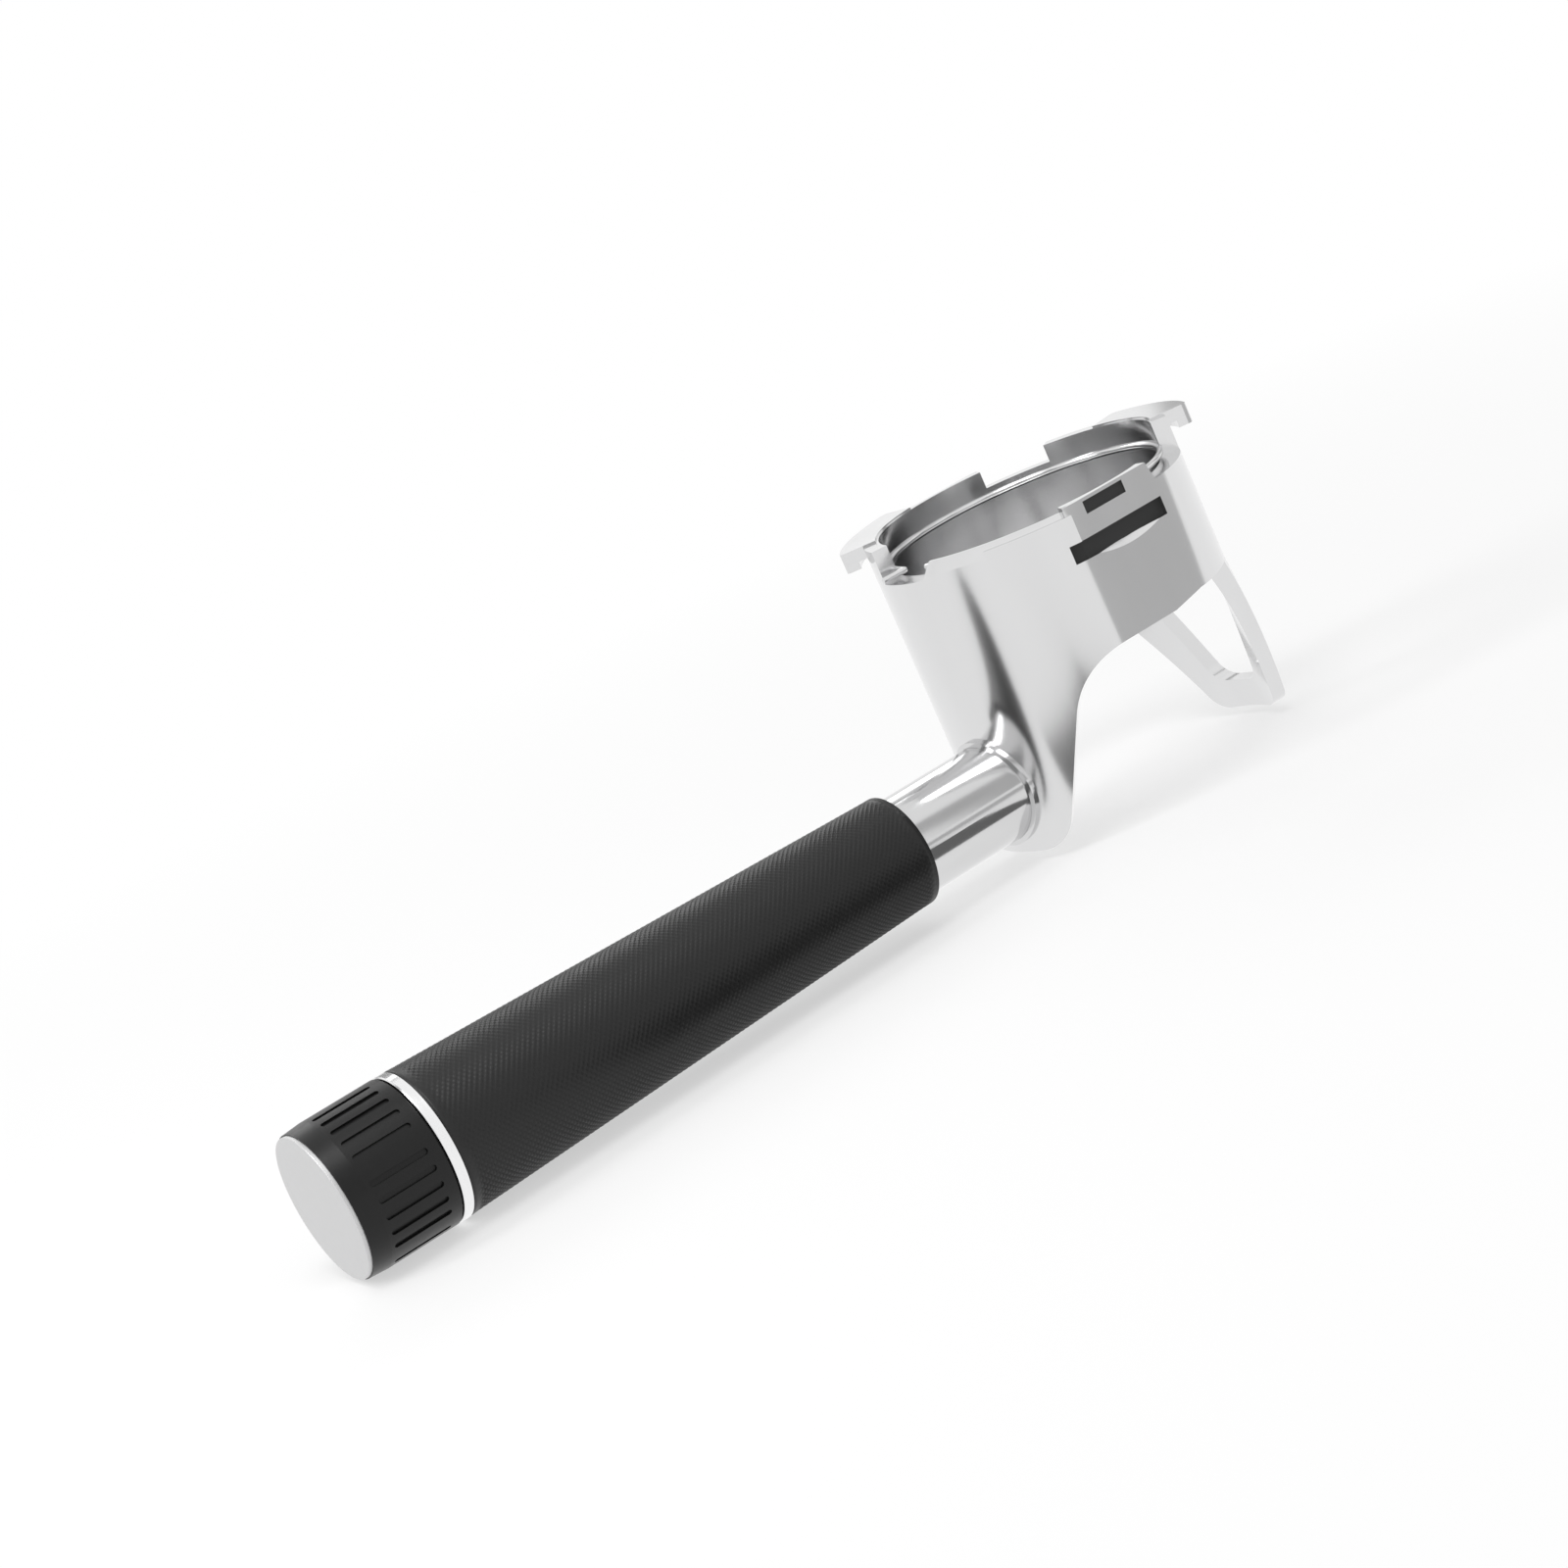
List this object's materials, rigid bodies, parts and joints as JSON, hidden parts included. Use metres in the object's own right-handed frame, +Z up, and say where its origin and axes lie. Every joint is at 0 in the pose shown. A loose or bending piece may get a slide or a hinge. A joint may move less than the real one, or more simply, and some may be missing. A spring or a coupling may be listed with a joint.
{
  "type": "portafilter",
  "caption": "Bottomless espresso portafilter: steel collar with bayonet ears, looped front foot, knurled black handle and screw-on end cap.",
  "frame": {"origin": "centre of the collar bore at the basket ledge", "axes": "+Z up along the collar axis, handle along -X, foot towards +X"},
  "size_m": [0.2467, 0.0722, 0.0728],
  "materials": {
    "polished_steel": "mirror-polished stainless steel",
    "neck_chrome": "polished steel tube and weld bead",
    "spring_steel": "bright spring wire",
    "black_rubber": "matt black rubber",
    "grip_black": "satin black, fine diamond knurl",
    "core_plastic": "moulded nylon",
    "trim_silver": "bright turned aluminium",
    "cap_black": "satin black with grooves",
    "disc_silver": "fine matt silver",
    "zinc_hardware": "zinc-plated steel",
    "bushing_aluminium": "turned aluminium",
    "insert_brass": "turned brass",
    "thrust_nylon": "natural nylon",
    "adhesive": "foam adhesive pad"
  },
  "bodies": {
    "root": {"holder_body": "polished_steel", "bayonet_ring": "polished_steel", "front_foot": "polished_steel", "neck_tube": "neck_chrome", "neck_weld_bead": "neck_chrome", "basket_spring": "spring_steel", "spring_washer": "spring_steel", "basket_grip_pad": "black_rubber", "rim_grip_pad": "black_rubber", "front_o_ring": "black_rubber", "cap_o_ring": "black_rubber", "grip_sleeve": "grip_black", "grip_core": "core_plastic", "trim_ring": "trim_silver", "tie_rod": "zinc_hardware", "flat_washer": "zinc_hardware", "lock_nut": "zinc_hardware", "dowel_pins": "zinc_hardware", "neck_plug": "zinc_hardware", "rear_bushing": "bushing_aluminium"},
    "cap_travel": {"cap_thrust_washer": "thrust_nylon"},
    "cap": {"end_cap": "cap_black", "cap_threaded_insert": "insert_brass", "end_disc": "disc_silver", "disc_adhesive_pad": "adhesive"}
  },
  "joints": [
    {"name": "cap_slide", "type": "slide", "parent": "root", "child": "cap_travel", "axis": [-1, 0, 0], "range_m": [0, 0.0083]},
    {"name": "cap_turn", "type": "hinge", "parent": "cap_travel", "child": "cap", "pos_m": [-0.195, 0, -0.0499], "axis": [-1, 0, 0], "range_deg": [0, 1980]}
  ],
  "couplings": [
    {"joint": "cap_slide", "follows": "cap_turn", "m_per_rad": 0.00023873}
  ]
}
